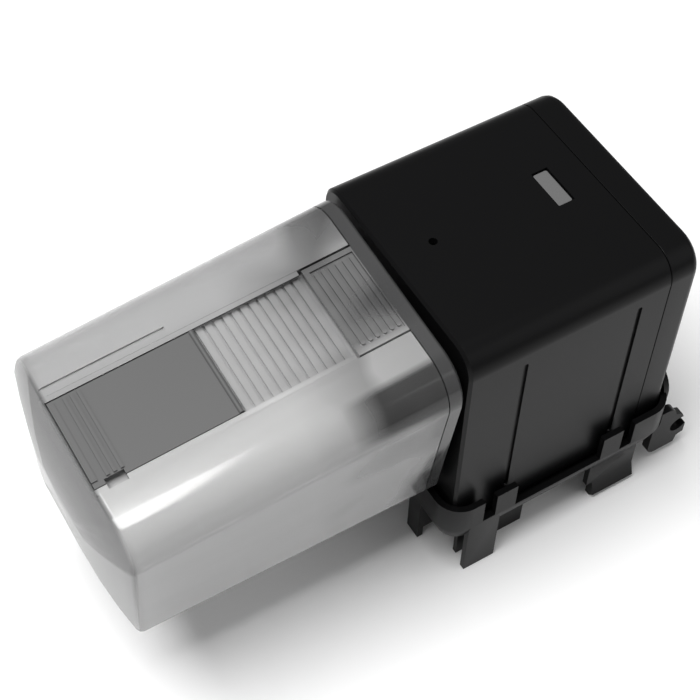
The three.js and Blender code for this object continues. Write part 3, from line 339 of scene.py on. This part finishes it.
def metal(name, colour, tint, rough, stretch=(1, 1, 0.05), scratch=900.0):
    material, tree, shader = newMaterial(name)
    lines = stretchedNoise(tree, stretch, scratch, detail=4.0)
    ground = blendColour(tree, lines, (*colour, 1), (*tint, 1))
    wire(tree, ground, shader.inputs["Base Color"])
    swing = metalSkin["roughSwing"]
    wire(tree, mathNode(tree, "MULTIPLY_ADD", lines, swing, rough - swing / 2), shader.inputs["Roughness"])
    shader.inputs["Metallic"].default_value = 1.0
    bumpFrom(tree, lines, shader, metalSkin["bump"], metalSkin["scratchDepth"])
    return material


board = {
    "track": (0.012, 0.10, 0.040),
    "mask": (0.02, 0.15, 0.06),
    "stain": (0.01, 0.07, 0.03),
    "trackScale": 420.0,
    "wander": 1.5,
    "stainScale": 300.0,
    "rough": 0.25,
    "roughSwing": 0.15,
    "bump": 0.15,
    "trackDepth": 0.00003,
}


def solderMask():
    material, tree, shader = newMaterial("solderMask")
    weave = tree.nodes.new("ShaderNodeTexWave")
    place = tree.nodes.new("ShaderNodeTexCoord")
    wire(tree, place.outputs["Object"], weave.inputs["Vector"])
    weave.inputs["Scale"].default_value = board["trackScale"]
    weave.inputs["Distortion"].default_value = board["wander"]
    blotches = stretchedNoise(tree, (1, 1, 1), board["stainScale"], detail=3.0)
    tracks = blendColour(tree, weave.outputs["Fac"], (*board["track"], 1), (*board["mask"], 1))
    wire(tree, blendColour(tree, blotches, tracks, (*board["stain"], 1)), shader.inputs["Base Color"])
    rough = mathNode(tree, "MULTIPLY_ADD", blotches, board["roughSwing"], board["rough"])
    wire(tree, rough, shader.inputs["Roughness"])
    bumpFrom(tree, weave.outputs["Fac"], shader, board["bump"], board["trackDepth"])
    return material


cell = {
    "film": (0.03, 0.08, 0.22),
    "band": (0.62, 0.60, 0.52),
    "bandFrom": 0.0175,
    "scuff": (0.5, 0.5, 0.5),
    "scuffStretch": (1, 0.3, 1),
    "scuffScale": 350.0,
    "scuffAmount": 0.25,
    "rough": 0.2,
    "roughSwing": 0.3,
    "bandMetal": 0.8,
}


def cellJacket():
    # printed film with a metallic band at both ends of each cell
    material, tree, shader = newMaterial("cellJacket")
    place = tree.nodes.new("ShaderNodeTexCoord")
    split = tree.nodes.new("ShaderNodeSeparateXYZ")
    wire(tree, place.outputs["Object"], split.inputs[0])
    fromMiddle = mathNode(tree, "ABSOLUTE", split.outputs["Y"])
    band = mathNode(tree, "GREATER_THAN", fromMiddle, cell["bandFrom"])
    scuffs = stretchedNoise(tree, cell["scuffStretch"], cell["scuffScale"], detail=4.0)
    film = blendColour(tree, band, (*cell["film"], 1), (*cell["band"], 1))
    scuffed = mathNode(tree, "MULTIPLY", scuffs, cell["scuffAmount"])
    wire(tree, blendColour(tree, scuffed, film, (*cell["scuff"], 1)), shader.inputs["Base Color"])
    rough = mathNode(tree, "MULTIPLY_ADD", scuffs, cell["roughSwing"], cell["rough"])
    wire(tree, rough, shader.inputs["Roughness"])
    wire(tree, mathNode(tree, "MULTIPLY", band, cell["bandMetal"]), shader.inputs["Metallic"])
    return material


def grey(level):
    return (level, level, level)


mouldings = {
    "housing_plastic": {
        "name": "satinBlack",
        "colour": (0.0036, 0.0036, 0.0038),
        "blotch": (0.0038, 0.0038, 0.0040),
        "rough": 0.33,
        "swing": 0.01,
        "gloss": 0.11,
    },
    "gate_plastic": {
        "name": "gateGrey",
        "colour": grey(0.082),
        "blotch": grey(0.087),
        "rough": 0.55,
        "swing": 0.04,
        "grain": 1500.0,
        "gloss": 0.4,
    },
    "button_plastic": {
        "name": "buttonGrey",
        "colour": grey(0.108),
        "blotch": grey(0.116),
        "rough": 0.45,
        "swing": 0.04,
    },
    "gear_plastic": {
        "name": "gearIvory",
        "colour": (0.72, 0.69, 0.61),
        "blotch": (0.78, 0.76, 0.7),
        "rough": 0.42,
        "grain": 1200.0,
    },
    "cradle_plastic": {
        "name": "cradleBlack",
        "colour": grey(0.018),
        "blotch": grey(0.028),
        "rough": 0.5,
    },
    "switch_plastic": {
        "name": "switchBlack",
        "colour": grey(0.02),
        "blotch": grey(0.03),
        "rough": 0.35,
    },
}
metals = {
    "steel": {"name": "platedSteel", "colour": (0.52, 0.52, 0.53), "tint": grey(0.62), "rough": 0.34},
    "spring_steel": {
        "name": "nickelPlate",
        "colour": (0.70, 0.69, 0.65),
        "tint": (0.60, 0.58, 0.54),
        "rough": 0.24,
        "stretch": (1, 1, 1),
        "scratch": 600.0,
    },
}
materials = {
    **{slot: mouldedPlastic(**finish) for slot, finish in mouldings.items()},
    **{slot: metal(**finish) for slot, finish in metals.items()},
    "smoke_plastic": smokyPlastic("smokyPlastic", smoke),
    "circuit_board": solderMask(),
    "battery_jacket": cellJacket(),
}
pieceMaterials = {"end_cap": smokyPlastic("capPlastic", capSmoke)}
print("materials made:", len(materials) + len(pieceMaterials))


meshRules = {"weld": 0.002 * mm, "flatAngle": 0.6, "smoothAngle": 38}
defaultEdge = {"width": 0.22 * mm, "segments": 2, "sharpAngle": 32}
# square to the gate's travel, out of the drum's deck
deckUp = Vector(jointOf["gate_slide"]["axis"]).cross(Vector((0, 1, 0))).normalized()
if deckUp.z < 0:
    deckUp.negate()
drumGrooves = {
    "up": deckUp,
    "deepest": 3.1 * mm,  # below the piece's highest point
    "reach": 15.2 * mm,
    "above": 66 * mm,
    "wallFrom": 0.1 * mm,
    "smallest": 0.2 * mm * mm,
    "amount": 0.8,
}
tongueGrooves = {**drumGrooves, "deepest": 2.26 * mm, "above": 70 * mm}
edgeOf = {
    "drum_shell": {"width": 0.2 * mm, "segments": 2, "sharpAngle": 32, "grooves": drumGrooves},
    "end_cap": {"width": 0.2 * mm, "segments": 2, "sharpAngle": 32, "grooves": tongueGrooves},
    "base_bracket": {"width": 0.3 * mm, "segments": 2, "sharpAngle": 32},
    "main_housing": {"width": 0.25 * mm, "segments": 2, "sharpAngle": 40},
}


def markGrooveShade(shape, grooves):
    # painted shade: the upper side walls of the channel and of the tongue's grooves are marked to be
    # coloured dark
    up = grooves["up"]
    level = max(up.dot(vert.co) for vert in shape.verts)
    shadeMarks = shape.faces.layers.float.new("groove")
    for face in shape.faces:
        middle = face.calc_center_median()
        depth = level - up.dot(middle)
        if middle.z < grooves["above"] or abs(middle.y) > grooves["reach"]:
            continue
        atSide = up.dot(face.normal) < 0.5 and face.calc_area() > grooves["smallest"]
        if atSide and grooves["wallFrom"] < depth <= grooves["deepest"]:
            face[shadeMarks] = grooves["amount"]


def edgesOver(shape, degrees):
    limit = math.radians(degrees)
    return [edge for edge in shape.edges if len(edge.link_faces) == 2 and edge.calc_face_angle() > limit]


def easedMesh(name, source, edge):
    shape = bmesh.new()
    shape.from_mesh(source)
    bmesh.ops.remove_doubles(shape, verts=shape.verts, dist=meshRules["weld"])
    flatAngle = math.radians(meshRules["flatAngle"])
    bmesh.ops.dissolve_limit(shape, angle_limit=flatAngle, verts=shape.verts, edges=shape.edges)
    sharp = edgesOver(shape, edge["sharpAngle"])
    bmesh.ops.bevel(
        shape,
        geom=sharp,
        offset=edge["width"],
        offset_type="OFFSET",
        segments=edge["segments"],
        profile=0.5,
        affect="EDGES",
        clamp_overlap=True,
        material=-1,
    )
    for face in shape.faces:
        face.smooth = True
    for crease in edgesOver(shape, meshRules["smoothAngle"]):
        crease.smooth = False
    if "grooves" in edge:
        markGrooveShade(shape, edge["grooves"])
    mesh = bpy.data.meshes.new(name)
    shape.to_mesh(mesh)
    shape.free()
    return mesh


def easedPiece(node):
    name = node + "_moulding"
    mesh = easedMesh(name, nodes[node].data, edgeOf.get(node, defaultEdge))
    mesh.materials.append(pieceMaterials.get(node, materials[slotOf[node]]))
    piece = bpy.data.objects.new(name, mesh)
    bpy.context.scene.collection.objects.link(piece)
    even = piece.modifiers.new("evenShading", "WEIGHTED_NORMAL")
    even.keep_sharp = True
    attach(piece, bodyOf[node])
    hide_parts(node)


for node in nodes:
    easedPiece(node)
print("pieces made:", len(nodes))


studio = {
    "floorColour": (0.90, 0.90, 0.90, 1),
    "floorSize": 6.0,
    "floorGap": 0.2 * mm,
    "floorRough": 0.9,
    "floorGloss": 0.1,
    "roomLight": 0.24,
    "keyPower": 18.5,
    "keySize": 0.7,
    "keyPlace": (-0.37, 0.05, 1.16),
    "fillPower": 3.5,
    "fillSize": 1.2,
    "fillPlace": (0.9, -0.9, 0.9),
}


def softLight(name, power, size, place, target):
    light = bpy.data.lights.new(name, "AREA")
    light.energy = power
    light.size = size
    lamp = bpy.data.objects.new(name, light)
    bpy.context.scene.collection.objects.link(lamp)
    lamp.location = place
    lamp.rotation_euler = (Vector(target) - Vector(place)).to_track_quat("-Z", "Y").to_euler()


def makeStudio():
    scene = bpy.context.scene
    low, high = cadBox
    shape = bmesh.new()
    bmesh.ops.create_grid(shape, x_segments=1, y_segments=1, size=studio["floorSize"] / 2)
    mesh = bpy.data.meshes.new("floor")
    shape.to_mesh(mesh)
    shape.free()
    mesh.transform(Matrix.Translation((0, 0, low.z - studio["floorGap"])))
    floor = bpy.data.objects.new("floor", mesh)
    scene.collection.objects.link(floor)
    paint, _, shader = newMaterial("floorPaint")
    shader.inputs["Base Color"].default_value = studio["floorColour"]
    shader.inputs["Roughness"].default_value = studio["floorRough"]
    shader.inputs["Specular IOR Level"].default_value = studio["floorGloss"]
    mesh.materials.append(paint)
    world = bpy.data.worlds.new("studioAir")
    world.use_nodes = True
    air = world.node_tree.nodes["Background"]
    air.inputs["Color"].default_value = (1, 1, 1, 1)
    air.inputs["Strength"].default_value = studio["roomLight"]
    scene.world = world
    middle = (low + high) / 2
    softLight("keyLight", studio["keyPower"], studio["keySize"], studio["keyPlace"], middle)
    softLight("fillLight", studio["fillPower"], studio["fillSize"], studio["fillPlace"], middle)
    scene.view_settings.view_transform = "Standard"


cameraSet = {
    "place": (-0.1838, -0.21322, 0.40064),
    "turn": (36.603, -0.939, -30.974),
    "lens": 84.48,
    "sensor": 36.0,
    "shift": (0.0053, -0.0142),
}


def makeCamera():
    lens = bpy.data.cameras.new("camera")
    lens.lens = cameraSet["lens"]
    lens.sensor_width = cameraSet["sensor"]
    lens.shift_x, lens.shift_y = cameraSet["shift"]
    lens.clip_start = 0.01
    lens.clip_end = 20.0
    camera = bpy.data.objects.new("camera", lens)
    camera.location = cameraSet["place"]
    camera.rotation_euler = Euler([math.radians(angle) for angle in cameraSet["turn"]], "XYZ")
    bpy.context.scene.collection.objects.link(camera)
    bpy.context.scene.camera = camera


makeStudio()
makeCamera()
print("studio and camera placed")
